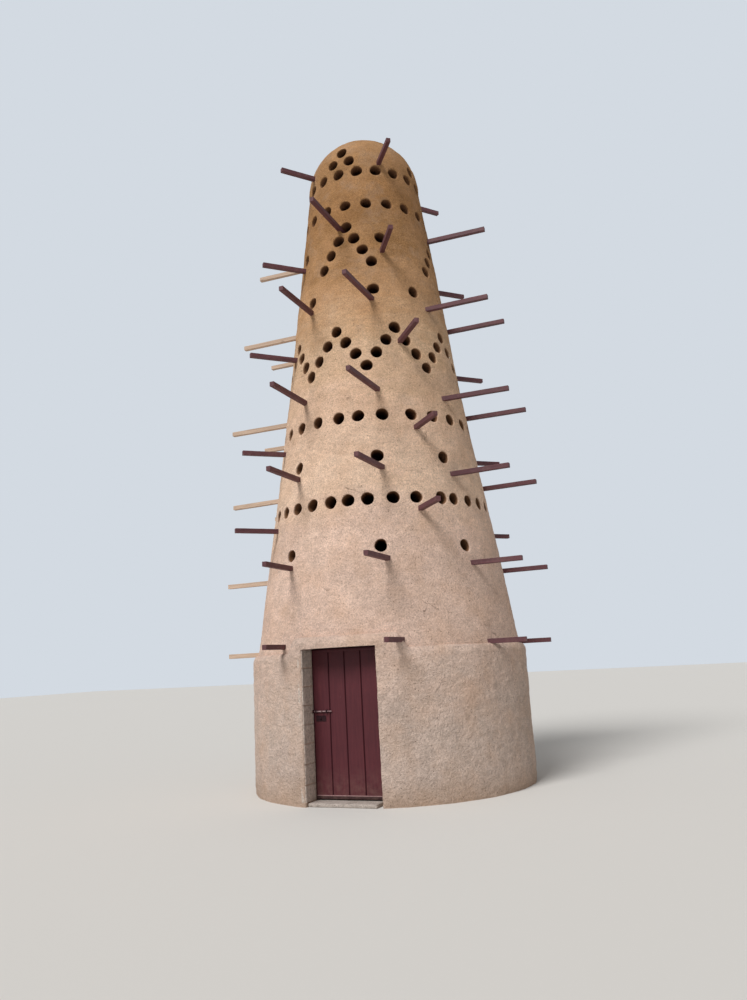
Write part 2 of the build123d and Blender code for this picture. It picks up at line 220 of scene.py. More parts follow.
def plaster_relief(points, coarse=1.0):
    """How far hand-laid plaster stands out from its true surface at each point."""
    waves = 0.008 * gradient_noise(points, 0.85, 11)
    lumps = 0.0045 * gradient_noise(points, 0.24, 12)
    trowel = 0.0026 * gradient_noise(points * (1, 1, 1.8), 0.10, 13)
    grit = 0.0024 * gradient_noise(points, 0.052, 14)
    return waves + lumps + coarse * (trowel + grit)


# Meshes


class Shell:
    """Collects points and faces for one closed mesh."""

    def __init__(self):
        self.points = []
        self.depths = []
        self.count = 0
        self.faces = []
        self.face_slots = []

    def add(self, points, depth=0.0):
        """Adds points, which lie some depth behind the open face, and returns their indices."""
        points = np.asarray(points, float).reshape(-1, 3)
        self.points.append(points)
        self.depths.append(np.full(len(points), depth))
        self.count += len(points)
        return np.arange(self.count - len(points), self.count)

    def face(self, corners, slot=0):
        self.faces.append([int(c) for c in corners])
        self.face_slots.append(int(slot))

    def triangles(self, corners, flip=False):
        corners = np.asarray(corners).reshape(-1, 3)
        for corner in corners[:, ::-1] if flip else corners:
            self.face(corner)

    def grid(self, ids, slot=0, closed=False, flip=False):
        """Faces between the rows of a two-way array of indices, with one slot or one for each column."""
        ids = np.asarray(ids)
        rows, columns = ids.shape
        last = columns if closed else columns - 1
        slots = np.broadcast_to(slot, last)
        for row, column in itertools.product(range(rows - 1), range(last)):
            near = (column + 1) % columns
            corners = [ids[row, column], ids[row, near], ids[row + 1, near], ids[row + 1, column]]
            self.face(corners[::-1] if flip else corners, slots[column])

    def build(self, name, materials, smooth):
        """Makes the object. smooth is the angle above which an edge stays sharp."""
        mesh = bpy.data.meshes.new(name)
        mesh.from_pydata(np.concatenate(self.points).tolist(), [], self.faces)
        for material in materials:
            mesh.materials.append(material)
        mesh.polygons.foreach_set("material_index", self.face_slots)
        mesh.polygons.foreach_set("use_smooth", [True] * len(mesh.polygons))
        mesh.set_sharp_from_angle(angle=math.radians(smooth))
        depth = mesh.attributes.new("depth", "FLOAT", "POINT")
        depth.data.foreach_set("value", np.concatenate(self.depths).astype(np.float32))
        mesh.validate()
        mesh.update()
        piece = bpy.data.objects.new(name, mesh)
        bpy.context.scene.collection.objects.link(piece)
        return piece


def place(piece, body, slot, *replaced):
    """Lets a piece ride on a body and stand for CAD nodes. slot is not used."""
    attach(piece, body)
    if replaced:
        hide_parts(*replaced)


def round_points(azimuth, radius, z):
    """Points at azimuths, radii and heights."""
    return np.stack([radius * np.sin(azimuth), -radius * np.cos(azimuth), z + 0 * azimuth], axis=-1)


def disc_points(azimuth, radius):
    """Flat points at azimuths and radii."""
    return np.stack([radius * np.cos(azimuth), radius * np.sin(azimuth)], axis=-1)


def swung(x, y, azimuth):
    """Where x and y come to lie when they are swung round the tower's axis."""
    return x * math.cos(azimuth) - y * math.sin(azimuth), x * math.sin(azimuth) + y * math.cos(azimuth)


def signed(azimuth):
    """The same azimuths, from minus to plus half a circle."""
    return (azimuth + math.pi) % CIRCLE - math.pi


def ring_points(number, rng=None):
    """Azimuths all the way round and a shift up for each: even, or straying where rng is given."""
    azimuth = np.arange(number) / number * CIRCLE
    if rng is None:
        return azimuth, np.zeros(number)
    azimuth = azimuth + (rng.random() + rng.uniform(-STRAY, STRAY, number)) * CIRCLE / number
    return azimuth % CIRCLE, rng.uniform(-STRAY, STRAY, number)


def triangulate(flat, openings):
    """Triangles that join flat points, but none inside the openings, which are loops of indices."""
    flat = np.asarray(flat, float)
    points = [Vector(p) for p in flat / np.abs(flat).max()]
    loops = [[int(corner) for corner in loop] for loop in openings]
    _, _, faces, source, _, inside = delaunay_2d_cdt(points, [], loops, 0, 1e-9, True)
    source = [first[0] for first in source]
    kept = [face for face, owners in zip(faces, inside) if not owners]
    triangles = np.array([[source[corner] for corner in face] for face in kept])
    a, b, c = (flat[triangles[:, k]] for k in range(3))
    turn = (b[:, 0] - a[:, 0]) * (c[:, 1] - a[:, 1]) - (b[:, 1] - a[:, 1]) * (c[:, 0] - a[:, 0])
    triangles[turn < 0] = triangles[turn < 0][:, ::-1]
    return triangles


def bridge(shell, first, second, up):
    """Closes the flat ring between two rims whose points run the same way round from azimuth 0."""
    a, b = 0, 0
    while a < len(first) or b < len(second):
        near, far = first[a % len(first)], second[b % len(second)]
        if b >= len(second) or (a < len(first) and (a + 1) / len(first) <= (b + 1) / len(second)):
            a += 1
            corners = [near, first[a % len(first)], far]
        else:
            b += 1
            corners = [near, second[b % len(second)], far]
        shell.face(corners if up else corners[::-1])


# Profiles


class Profile:
    """An outline of (radius, height) points from the bottom up, turned round the axis.

    flat() lays the surface out as a disc seen from above without changing its shapes, so
    that triangles which are good there are good on the tower."""

    def __init__(self, points, top_closed=False):
        self.r, self.z = np.array(points, float).T
        steps = np.hypot(np.diff(self.r), np.diff(self.z))
        self.s = np.concatenate([[0], np.cumsum(steps)])
        middle = (self.r[1:] + self.r[:-1]) / 2
        self.rho = np.exp(-np.concatenate([[0], np.cumsum(steps / middle)]))
        self.top_closed = top_closed

    def radius(self, z):
        return np.interp(z, self.z, self.r)

    def flat(self, azimuth, z):
        return disc_points(azimuth, np.interp(z, self.z, self.rho))

    def rows(self, spacing, rng):
        """Rows of (azimuth, z) that cover the surface, loosely spaced. The rims stay exact."""
        count = max(2, round(self.s[-1] / spacing))
        rows = []
        for step in range(count if self.top_closed else count + 1):
            s = self.s[-1] * step / count
            number = max(5, round(CIRCLE * np.interp(s, self.s, self.r) / spacing))
            azimuth, shift = ring_points(number, None if step in (0, count) else rng)
            rows.append((azimuth, np.interp(s + shift * spacing, self.s, self.z)))
        return rows

    def normals(self, azimuth, z):
        """Outward normals at (azimuth, z)."""
        out = np.interp(z, self.z, np.gradient(self.z, self.s))
        up = -np.interp(z, self.z, np.gradient(self.r, self.s))
        return round_points(azimuth, out, up)


def dome_outline(radius, rise, steps=60):
    """Outline of a spherical cap from the spring line to just short of its top."""
    sphere = (radius * radius + rise * rise) / (2 * rise)
    centre = SPRING_HEIGHT + rise - sphere
    start = math.atan2(SPRING_HEIGHT - centre, radius)
    angles = np.linspace(start, math.pi / 2 - 0.01, steps)
    return [(sphere * math.cos(a), centre + sphere * math.sin(a)) for a in angles]


def cone_outline(low, high, steps=40):
    """Outline of a straight cone between two (radius, height) points."""
    return [
        (low[0] + (high[0] - low[0]) * k / steps, low[1] + (high[1] - low[1]) * k / steps)
        for k in range(steps + 1)
    ]


def wall_profiles(foot, waist, spring, rise):
    """Profiles of the lower wall and of the upper wall with its dome, from radii and the dome's rise."""
    lower = cone_outline((foot, DRUM_HEIGHT), (waist, WAIST_HEIGHT))
    upper = cone_outline((waist, WAIST_HEIGHT), (spring, SPRING_HEIGHT))[:-1] + dome_outline(spring, rise)
    return Profile(lower), Profile(upper, top_closed=True)


lower_outside, upper_outside = wall_profiles(FOOT_RADIUS, WAIST_RADIUS, SPRING_RADIUS, DOME_RISE)
lower_inside, upper_inside = wall_profiles(
    FOOT_RADIUS - FOOT_WALL, WAIST_RADIUS - WAIST_WALL, SPRING_RADIUS - SPRING_WALL, DOME_RISE - DOME_WALL
)


def radius_at(z):
    """Outer radius of the wall or dome at a height."""
    return float(lower_outside.radius(z) if z < WAIST_HEIGHT else upper_outside.radius(z))


# Holes and poles


def peak(azimuth, height, pitch, rows):
    """A hole at the top of a peak and the pairs of holes that step down from it, 3 rows over a height."""
    places = [(azimuth, height + 3 * pitch)]
    for row, side in itertools.product(rows, (-1, 1)):
        places.append((azimuth + side * row * ROW_STEP, height + (3 - row) * pitch))
    return places


def pigeon_holes():
    """Azimuth in degrees and height of every pigeon hole."""
    places = []
    for height, count, first, shifts in HOLE_RINGS:
        places += [(first + 360.0 * step / count + shifts.get(step, 0.0), height) for step in range(count)]
    for step in range(ZIGZAG_COUNT):
        apex = ZIGZAG_FIRST + 360.0 * step / ZIGZAG_COUNT
        turn, rise = (OFF_TURN, OFF_RISE) if step == OFF_STEP else (0.0, 0.0)
        places += peak(apex, ZIGZAG_HEIGHT, ROW_PITCH, (1, 2))
        places.append((apex + 3 * ROW_STEP + turn, ZIGZAG_HEIGHT + rise))
    for turn in (0.0, 90.0, 180.0, 270.0):
        places += peak(CHEVRON_FIRST + turn, CHEVRON_HEIGHT, CHEVRON_PITCH, (1, 2, 3))
        places += [(turn + side * PYRAMID_HALF_STEP, PYRAMID_HEIGHTS[0]) for side in (-1, 1)]
        places.append((turn, PYRAMID_HEIGHTS[1]))
    for level, azimuths in SINGLE_HOLES:
        places += [(azimuth, PERCH_LEVELS[level][0] + PERCH_TO_HOLE) for azimuth in azimuths]
    return places


def level_poles(level):
    """Each pole of a level as (azimuth in degrees, sideways offset, height of its middle, half length)."""
    height, projection, *ways = PERCH_LEVELS[level]
    radius = radius_at(height)
    half_lap = (POLE_SIDE + LAP_GAP) / 2
    poles = []
    for (azimuth, places), middle in zip(ways, (height - half_lap, height + half_lap)):
        for angle in np.radians(places):
            poles.append((azimuth, radius * math.sin(angle), middle, radius * math.cos(angle) + projection))
    return poles


def pole_exits():
    """Where each pole comes out of the wall."""
    places = []
    for level in range(len(PERCH_LEVELS)):
        for azimuth, offset, middle, _ in level_poles(level):
            along = math.sqrt(max(0.0, radius_at(middle) ** 2 - offset**2))
            places += [(*swung(offset, end * along, math.radians(azimuth)), middle) for end in (-1, 1)]
    return np.array(places)


EXITS = pole_exits()


def mortar(points):
    """Extra plaster pressed round each pole where it leaves the wall."""
    extra = np.zeros(len(points))
    for exit_place in EXITS:
        near = np.linalg.norm(points - exit_place, axis=1)
        extra += MORTAR_THICK * np.exp(-((near / MORTAR_REACH) ** 2))
    return extra


# Plaster walls


class Hole:
    """One pigeon hole: a slightly uneven round tube through the wall, square to the axis."""

    def __init__(self, azimuth, z, rng):
        self.azimuth = math.radians(azimuth) % CIRCLE
        self.z = z
        self.phi = np.arange(HOLE_POINTS) / HOLE_POINTS * CIRCLE
        sway = rng.uniform(0, CIRCLE, 3)
        self.size = 1 + rng.uniform(-0.035, 0.03)
        waves = zip((0.035, 0.02, 0.012), (2, 3, 5), sway)
        uneven = sum(size * np.sin(lobes * self.phi + start) for size, lobes, start in waves)
        self.shape = self.size * (1 + uneven)
        self.stretch = DOME_STRETCH if z > PYRAMID_HEIGHTS[1] - 0.01 else 1.0

    def offsets(self, radius):
        """Sideways and upward offsets of a ring of this radius."""
        return radius * self.shape * np.cos(self.phi), self.stretch * radius * self.shape * np.sin(self.phi)

    def on_surface(self, profile, radius):
        """A ring on a turned surface, as (azimuth, z)."""
        side, rise = self.offsets(radius)
        z = self.z + rise
        return self.azimuth + np.arcsin(side / profile.radius(z)), z

    def beyond(self, azimuth, z, profile, radius):
        """Which points lie farther than a radius from this hole's axis, or on the tower's other side."""
        turn = azimuth - self.azimuth
        side = profile.radius(z) * np.sin(turn)
        return (np.cos(turn) <= 0) | (np.hypot(side, (z - self.z) / self.stretch) >= radius)


class Scatter:
    """Collects (azimuth, height) points before they are triangulated."""

    def __init__(self):
        self.azimuths, self.heights = [], []
        self.count = 0

    def add(self, azimuth, z):
        self.azimuths.append(azimuth)
        self.heights.append(z)
        self.count += len(azimuth)
        return np.arange(self.count - len(azimuth), self.count)

    def points(self):
        return np.concatenate(self.azimuths), np.concatenate(self.heights)


def over_doorway(azimuth, z):
    """Heights of wall points once the wall's foot is carried up over the doorway."""
    turn = signed(azimuth)
    left = np.clip((turn - HEAD_LEFT) / HEAD_FADE + 1, 0, 1)
    right = np.clip((HEAD_RIGHT - turn) / HEAD_FADE + 1, 0, 1)
    near = np.clip(1 - (z - DRUM_HEIGHT) / HEAD_REACH, 0, 1)
    return z + HEAD_LIFT * np.minimum(left, right) * near


def scatter_rows(scatter, profile, holes, spacing, rng, radius, clearance):
    """Scatters points over a turned surface, clear of its holes. Returns its rims from the bottom up."""
    rims = []
    rows = profile.rows(spacing, rng)
    for number, (azimuth, z) in enumerate(rows):
        if number == 0 or (number == len(rows) - 1 and not profile.top_closed):
            rims.append(scatter.add(azimuth, z))
            continue
        keep = np.ones(len(azimuth), bool)
        for hole in holes:
            if abs(hole.z - z[0]) < HOLE_NEAR:
                keep &= hole.beyond(azimuth, z, profile, radius * hole.size + clearance)
        scatter.add(azimuth[keep], z[keep])
    if profile.top_closed:
        scatter.add(np.zeros(1), profile.z[-1:])
    return rims


def turned_sheet(shell, profile, holes, rng, outer):
    """Covers a turned surface with triangles round its holes.

    Returns the rims from the bottom up, and each hole's innermost ring, as indices."""
    if outer:
        spacing, clearance, rings = GRAIN, OUTER_CLEARANCE * GRAIN, (LIP_RADIUS, GUARD_RADIUS)
    else:
        spacing, clearance, rings = COARSE, INNER_CLEARANCE * COARSE, (INNER_RADIUS,)
    scatter = Scatter()
    rims = scatter_rows(scatter, profile, holes, spacing, rng, rings[-1], clearance)
    lips = []
    for hole in holes:
        lips.append(scatter.add(*hole.on_surface(profile, rings[0])))
        for radius in rings[1:]:
            azimuth, z = hole.on_surface(profile, radius)
            keep = np.ones(len(azimuth), bool)
            for other in holes:
                if other is not hole and abs(other.z - hole.z) < HOLE_NEAR:
                    keep &= other.beyond(azimuth, z, profile, rings[0] + LIP_SPACE)
            scatter.add(azimuth[keep], z[keep])
    azimuth, z = scatter.points()
    triangles = triangulate(profile.flat(azimuth, z), lips + rims[1:])
    z = over_doorway(azimuth, z)
    base = round_points(azimuth, profile.radius(z), z)
    if outer:
        lift = plaster_relief(base) + mortar(base)
        base = base + profile.normals(azimuth, z) * lift[:, None]
    ids = shell.add(base, 0.0 if outer else INNER_DEPTH)
    shell.triangles(ids[triangles], flip=not outer)
    return [ids[rim] for rim in rims], [ids[lip] for lip in lips]


def line_hole(shell, hole, outer_ring, inner_ring, outside):
    """Rings of points down one hole, from its worn lip to the inner face of the wall."""
    out = np.array([math.sin(hole.azimuth), -math.cos(hole.azimuth), 0.0])
    tangent = np.array([math.cos(hole.azimuth), math.sin(hole.azimuth), 0.0])
    up = np.array([0.0, 0.0, 1.0])
    rings = [outer_ring]
    for depth, radius in LINING_STEPS:
        side, rise = hole.offsets(radius)
        z = hole.z + rise
        along = np.sqrt(outside.radius(z) ** 2 - side**2) - depth
        bare = tangent * side[:, None] + out * along[:, None] + up * z[:, None]
        shift = plaster_relief(bare + out * depth) * max(0.0, 1 - depth / RELIEF_DEPTH)
        rough = 0.0014 * gradient_noise(bare, 0.035, 31)
        aim = tangent * side[:, None] + up * rise[:, None]
        aim /= np.linalg.norm(aim, axis=1)[:, None]
        rings.append(shell.add(bare + out * shift[:, None] + aim * rough[:, None], depth))
    rings.append(inner_ring)
    shell.grid(np.array(rings), closed=True)


def wall_shell(outside, inside, low, high, seed):
    """One closed tier of the wall, with its holes lined."""
    rng = np.random.default_rng(seed)
    holes = [Hole(azimuth, z, rng) for azimuth, z in pigeon_holes() if low < z < high]
    shell = Shell()
    outer_rims, outer_lips = turned_sheet(shell, outside, holes, rng, True)
    inner_rims, inner_lips = turned_sheet(shell, inside, holes, rng, False)
    bridge(shell, outer_rims[0], inner_rims[0], up=False)
    if not outside.top_closed:
        bridge(shell, outer_rims[1], inner_rims[1], up=True)
    for hole, outer_ring, inner_ring in zip(holes, outer_lips, inner_lips):
        line_hole(shell, hole, outer_ring, inner_ring, outside)
    return shell


# Drum


def surround_share(azimuth):
    """1 beside the doorway, 0 round the rest of the drum, and smooth between."""
    turn = signed(azimuth)
    left = np.clip((turn - SURROUND_LEFT + PAST_LEFT) / FADE_LEFT, 0, 1)
    right = np.clip((SURROUND_RIGHT + PAST_RIGHT - turn) / FADE_RIGHT, 0, 1)
    share = np.minimum(left, right)
    return share * share * (3 - 2 * share)


def shoulder_outline(radius, top, rounding, steps=10):
    """Outline of the drum with its rounded shoulder: share of its length, radius, height, and length."""
    turns = np.linspace(0, math.pi / 2, steps)
    points = [(radius, 0.0)]
    points += [
        (radius - rounding + rounding * math.cos(a), top - rounding + rounding * math.sin(a)) for a in turns
    ]
    points.append((SHOULDER_END, top))
    r, z = np.array(points).T
    s = np.concatenate([[0], np.cumsum(np.hypot(np.diff(r), np.diff(z)))])
    return s / s[-1], r, z, s[-1]


DRUM_LINE = shoulder_outline(DRUM_RADIUS, DRUM_HEIGHT, LEDGE_ROUND)
SURROUND_LINE = shoulder_outline(SURROUND_RADIUS, SURROUND_TOP, NOSE_ROUND)


def drum_points(azimuth, share):
    """Points on the drum at azimuths and shares of its outline, with the plaster's relief."""
    blend = surround_share(azimuth)
    radius, z = (
        np.interp(share, DRUM_LINE[0], DRUM_LINE[k]) * (1 - blend)
        + np.interp(share, SURROUND_LINE[0], SURROUND_LINE[k]) * blend
        for k in (1, 2)
    )
    base = round_points(azimuth, radius, z)
    under_top = z - DRUM_HEIGHT - (SURROUND_TOP - DRUM_HEIGHT) * blend
    lean = np.clip((under_top + LEDGE_ROUND) / LEDGE_ROUND, 0, 1) * 1.2
    normal = round_points(azimuth, np.cos(lean), np.sin(lean))
    foot = FOOT_WEAR * np.clip(1 - z / FOOT_RISE, 0, 1) ** 2 * (0.6 + gradient_noise(base, 0.3, 21))
    cove = COVE * np.clip(under_top / COVE_RISE + 1, 0, 1)
    lift = plaster_relief(base, 1.6) + 0.5 * mortar(base) - np.abs(foot) + cove
    moved = base + normal * lift[:, None]
    moved[:, 2] = np.where(share > 0, np.maximum(moved[:, 2], 0.0), 0.0)
    return moved


def doorway_outline(depth, lip):
    """The doorway's left, top and right sides as (x, z) points at a depth behind the wall's face."""
    flare = DOOR_FLARE * max(0.0, 1 - depth / FLARE_DEPTH)
    left, right = DOOR_LEFT - lip, DOOR_RIGHT + flare + lip
    up = np.linspace(0, 1, SIDE_POINTS)
    across = np.linspace(0, 1, TOP_POINTS)[1:-1]
    x = np.concatenate([left + 0 * up, left + (right - left) * across, right + 0 * up])
    z = np.concatenate([DOOR_TOP * up, DOOR_TOP + 0 * across, DOOR_TOP * up[::-1]])
    return x, z


def doorway_lining(shell, mouth):
    """Rings of points from the doorway's mouth inward, with the bolt's socket in its left side."""
    face = np.concatenate(shell.points)[mouth, 1]
    rings = [mouth]
    for depth, lip in REVEAL_STEPS:
        x, z = doorway_outline(depth, lip)
        y = face + depth
        deep = np.stack([x, y, z], axis=-1)
        rough = 0.004 * gradient_noise(deep, 0.12, 41) + 0.002 * gradient_noise(deep, 0.045, 42) - 0.003
        rough = np.minimum(rough, 0.001)
        sides = np.sign(x - (DOOR_LEFT + DOOR_RIGHT) / 2) * (z < DOOR_TOP - 0.002)
        deep[:, 0] -= sides * rough
        deep[:, 2] -= (sides == 0) * rough
        socket = (x < 0) & (np.abs(z - BOLT_Z) < SOCKET_HALF) & (np.abs(y - BOLT_Y) < SOCKET_RUN)
        deep[socket, 0] -= SOCKET_DEPTH
        deep[[0, -1], 2] = 0.0
        rings.append(shell.add(deep))
    return rings


def drum_face(radius, tall, spacing, clearance, mouth, rng=None):
    """One face of the drum, laid out by azimuth and share of its height, open at the doorway's mouth.

    Returns azimuths, shares and triangles, and the indices of the bottom row, top row and mouth."""
    left, right, head = mouth[0][0], mouth[0][-1], mouth[1].max()
    margin = clearance * spacing / radius
    count = round(tall / spacing)
    number = round(CIRCLE * radius / spacing)
    scatter = Scatter()
    rows = []
    for row in range(count + 1):
        azimuth, shift = ring_points(number, rng if 0 < row < count else None)
        share = row / count + shift / count
        turn = signed(azimuth)
        keep = (turn < left - margin) | (turn > right + margin) | (share > head + margin)
        rows.append(scatter.add(azimuth[keep], share[keep]))
    opening = scatter.add(*mouth)
    azimuth, share = scatter.points()
    flat = disc_points(azimuth, np.exp(-share * tall / radius))
    triangles = triangulate(flat, [opening[::-1], rows[-1]])
    return azimuth, share, triangles, rows[0], rows[-1], opening


def drum_foot(shell, bottom, inner_bottom, left_foot, right_foot):
    """Closes the drum's underside, but not under the doorway."""
    rim = np.concatenate([bottom, inner_bottom, left_foot, right_foot])
    place_of = {int(corner): number for number, corner in enumerate(rim)}
    hollow = [place_of[int(corner)] for corner in [*right_foot, *inner_bottom, *left_foot[::-1]]]
    outer_rim = [place_of[int(corner)] for corner in [*bottom, left_foot[0], right_foot[0]]]
    plan = np.concatenate(shell.points)[rim, :2]
    plan[outer_rim] *= (1.02 * SURROUND_RADIUS / np.linalg.norm(plan[outer_rim], axis=1))[:, None]
    shell.triangles(rim[triangulate(plan, [hollow])], flip=True)


def drum_shell():
    """The drum, its rounded shoulder and the plaster round the doorway, as one closed mesh."""
    shell = Shell()
    x, z = doorway_outline(0.0, DOOR_LIP)
    mouth = np.arcsin(x / SURROUND_RADIUS), np.interp(z, SURROUND_LINE[2], SURROUND_LINE[0])
    azimuth, share, triangles, bottom, top, mouth = drum_face(
        DRUM_RADIUS, DRUM_LINE[3], DRUM_GRAIN, OUTER_CLEARANCE, mouth, np.random.default_rng(3)
    )
    ids = shell.add(drum_points(azimuth, share))
    shell.triangles(ids[triangles])
    bottom, top = ids[bottom], ids[top]
    rings = doorway_lining(shell, ids[mouth])

    x, z = doorway_outline(1.0, 0.0)
    mouth = np.arcsin(x / DRUM_INNER), z / SURROUND_TOP
    azimuth, share, triangles, inner_bottom, inner_top, mouth = drum_face(
        DRUM_INNER, DRUM_HEIGHT, COARSE, INNER_CLEARANCE, mouth
    )
    height = DRUM_HEIGHT + (SURROUND_TOP - DRUM_HEIGHT) * surround_share(azimuth)
    base = round_points(azimuth, DRUM_INNER, share * height)
    base[mouth, 2] = z
    ids = shell.add(base, INNER_DEPTH)
    shell.triangles(ids[triangles], flip=True)

    rings = np.array([*rings, ids[mouth]])
    slots = np.zeros(len(x) - 1, int)
    # Slot 1 on the faces under the doorway's head is dark painted shade
    slots[SIDE_POINTS - 1 : SIDE_POINTS + TOP_POINTS - 2] = 1
    shell.grid(rings, slots, flip=True)
    drum_foot(shell, bottom, ids[inner_bottom], rings[:, 0], rings[:, -1])
    bridge(shell, top, ids[inner_top], up=True)
    return shell


# Timber, steel and concrete


def pole_section():
    """The eight points of a square pole's section with its arrises taken off."""
    half = POLE_SIDE / 2
    quarter = [(half, half - POLE_ARRIS), (half - POLE_ARRIS, half)]
    upper = quarter + [(-x, z) for x, z in quarter[::-1]]
    return np.array(upper + [(-x, -z) for x, z in upper])


def pole_shell(level, seed):
    """The square poles of one level, a little bowed and uneven, as one mesh of closed pieces.

    Also returns where each point lies in its pole's own timber."""
    rng = np.random.default_rng(seed)
    shell = Shell()
    grain = []
    half = POLE_SIDE / 2
    for azimuth, offset, middle, reach in level_poles(level):
        inner = np.linspace(-reach + POLE_ARRIS, reach - POLE_ARRIS, round(2 * reach / POLE_SIDE))
        bow = rng.uniform(-0.0035, 0.0035, 2)
        twist = rng.uniform(-0.02, 0.02)
        start = rng.uniform(0, 50, 3)
        rows, reaches = [], []
        for station in (-reach, *inner, reach):
            share = (station / reach + 1) / 2
            spin = twist * (share - 0.5)
            shape = pole_section() * (1 - POLE_ARRIS / half if abs(station) == reach else 1.0)
            x, z = swung(shape[:, 0], shape[:, 1], spin)
            local = np.stack([x, np.full(len(x), station), z], axis=-1)
            wear = 0.0009 * gradient_noise(local * (1, 0.35, 1) + start, 0.03, 51)
            local[:, ::2] *= (1 + wear / half)[:, None]
            grain.append(local + start)
            arch = bow * math.sin(math.pi * share)
            x, y = swung(local[:, 0] + offset + arch[0], local[:, 1], math.radians(azimuth))
            rows.append(shell.add(np.stack([x, y, local[:, 2] + middle + arch[1]], axis=-1)))
            reaches.append(x[0])
        bare_way = BARE_AZIMUTHS[0] < azimuth < BARE_AZIMUTHS[1] and level + 1 in BARE_LEVELS
        slots = [int(bare_way and max(ends) < BARE_END) for ends in zip(reaches, reaches[1:])]
        for near, far, slot in zip(rows, rows[1:], slots):
            shell.grid([near, far], slot, closed=True, flip=True)
        shell.face(rows[0])
        shell.face(rows[-1][::-1], bare_way)
    return shell, np.concatenate(grain)


def rounded_box(shell, low, high, radius, spacing, wobble=0.0, seed=0, slot=0):
    """A closed block with rounded arrises, evenly divided, and uneven by up to wobble."""
    low, high = np.array(low, float), np.array(high, float)
    half, centre = (high - low) / 2, (high + low) / 2
    lines = []
    for reach in half:
        inner = np.linspace(radius - reach, reach - radius, max(2, round(2 * reach / spacing)))
        lines.append([-reach, 0.4 * radius - reach, *inner, reach - 0.4 * radius, reach])
    known = {}
    points = []

    def index(key):
        """Number of the point at one place on each line, which the faces beside it share."""
        if key not in known:
            point = np.array([line[number] for line, number in zip(lines, key)])
            core = np.clip(point, radius - half, half - radius)
            known[key] = len(points)
            points.append(core + (point - core) / np.linalg.norm(point - core) * radius + centre)
        return known[key]

    faces = []
    for axis, end in itertools.product(range(3), (0, 1)):
        a, b = (axis + 1) % 3, (axis + 2) % 3
        for i, j in itertools.product(range(len(lines[a]) - 1), range(len(lines[b]) - 1)):
            corners = []
            for di, dj in ((0, 0), (1, 0), (1, 1), (0, 1)):
                key = [0, 0, 0]
                key[axis], key[a], key[b] = end * (len(lines[axis]) - 1), i + di, j + dj
                corners.append(index(tuple(key)))
            faces.append(corners if end else corners[::-1])
    points = np.array(points)
    if wobble:
        away = points - centre
        away /= np.linalg.norm(away, axis=1)[:, None]
        lift = 0.6 * gradient_noise(points, 0.09, seed) + 0.4 * gradient_noise(points, 0.03, seed + 1) - 0.5
        points = points + away * (wobble * lift)[:, None]
    ids = shell.add(points)
    for corners in faces:
        shell.face(ids[corners], slot)


def reveal_shell():
    """Bare block courses on the doorway's left side, cut round the bolt's socket."""
    shell = Shell()
    for course, (bottom, top) in enumerate(zip(REVEAL_COURSES, REVEAL_COURSES[1:])):
        bottom, top = bottom + REVEAL_JOINT / 2, top - REVEAL_JOINT / 2
        blocks = [(REVEAL_BACK, bottom, top, 0.006)]
        if bottom < BOLT_Z < top:
            low, high = BOLT_Z - SOCKET_HALF, BOLT_Z + SOCKET_HALF
            blocks = [
                (REVEAL_BACK, bottom, low, 0.003),
                (BOLT_Y - SOCKET_HALF, low, high, 0.003),
                (REVEAL_BACK, high, top, 0.003),
            ]
        for back, bottom, top, radius in blocks:
            low = (REVEAL_FACE - REVEAL_DEPTH, REVEAL_FRONT, bottom)
            rounded_box(shell, low, (REVEAL_FACE, back, top), radius, 0.018, 0.004, 60 + 2 * course)
    return shell


def threshold_shell():
    """Cast concrete step, a little worn."""
    shell = Shell()
    rounded_box(shell, *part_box("threshold"), 0.012, 0.025, 0.004, 90)
    return shell


def leaf_outline(low, high):
    """The leaf's plan as (x, y, slot) points: sheet panels with folded edges and grooves between them."""
    arris, depth, half_groove, steps = 0.0035, 0.009, 0.0065, 6
    front, back = low.y, high.y
    panel = (high.x - low.x) / LEAF_PANELS

    def flat(start, width):
        """Points along a panel's face."""
        return [(start + width * step / steps, front, 0) for step in range(1, steps)]

    outline = [(low.x, back, 0), (low.x, front + arris, 0), (low.x + arris, front, 0)]
    for groove in range(1, LEAF_PANELS):
        x = low.x + panel * groove
        outline += flat(x - panel, panel - half_groove)
        outline += [
            (x - half_groove - arris, front, 0),
            (x - half_groove, front + arris, 0),
            (x - half_groove, front + depth, 1),
            (x + half_groove, front + depth, 0),
            (x + half_groove, front + arris, 0),
            (x + half_groove + arris, front, 0),
        ]
    outline += flat(high.x - panel, panel)
    return np.array(outline + [(high.x - arris, front, 0), (high.x, front + arris, 0), (high.x, back, 0)])


def leaf_shell():
    """Door leaf: folded sheet panels, a rail at the head, and one at the foot in dark painted shade, with a
    pale edge over it that is painted highlight and rubbed paint.
    """
    low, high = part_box("door_leaf")
    shell = Shell()
    x, y, slots = leaf_outline(low, high).T
    flat = np.abs(y - low.y) < 1e-6
    rows = []
    for z in np.linspace(low.z, high.z, 30):
        points = np.stack([x, y, np.full(len(x), z)], axis=-1)
        points[:, 1] += flat * 0.0012 * gradient_noise(points, 0.25, 71)
        rows.append(shell.add(points))
    shell.grid(rows, slots, closed=True)
    shell.face(rows[0][::-1])
    shell.face(rows[-1])
    # The foot rail gets dark painted shade, and the edge over it a pale painted highlight together with
    # rubbed paint
    for bottom, top, slot in (
        (low.z, low.z + RAIL_HEIGHT, 2),
        (low.z + RAIL_HEIGHT, low.z + RAIL_HEIGHT + RUBBED_HIGHLIGHT_HEIGHT, 3),
        (high.z - RAIL_HEIGHT, high.z, 0),
    ):
        near = (low.x + 0.001, low.y - 0.004, bottom + 0.0005)
        far = (high.x - 0.001, low.y + 0.006, top - 0.0005)
        rounded_box(shell, near, far, 0.002, 0.06, slot=slot)
    return shell


# Materials


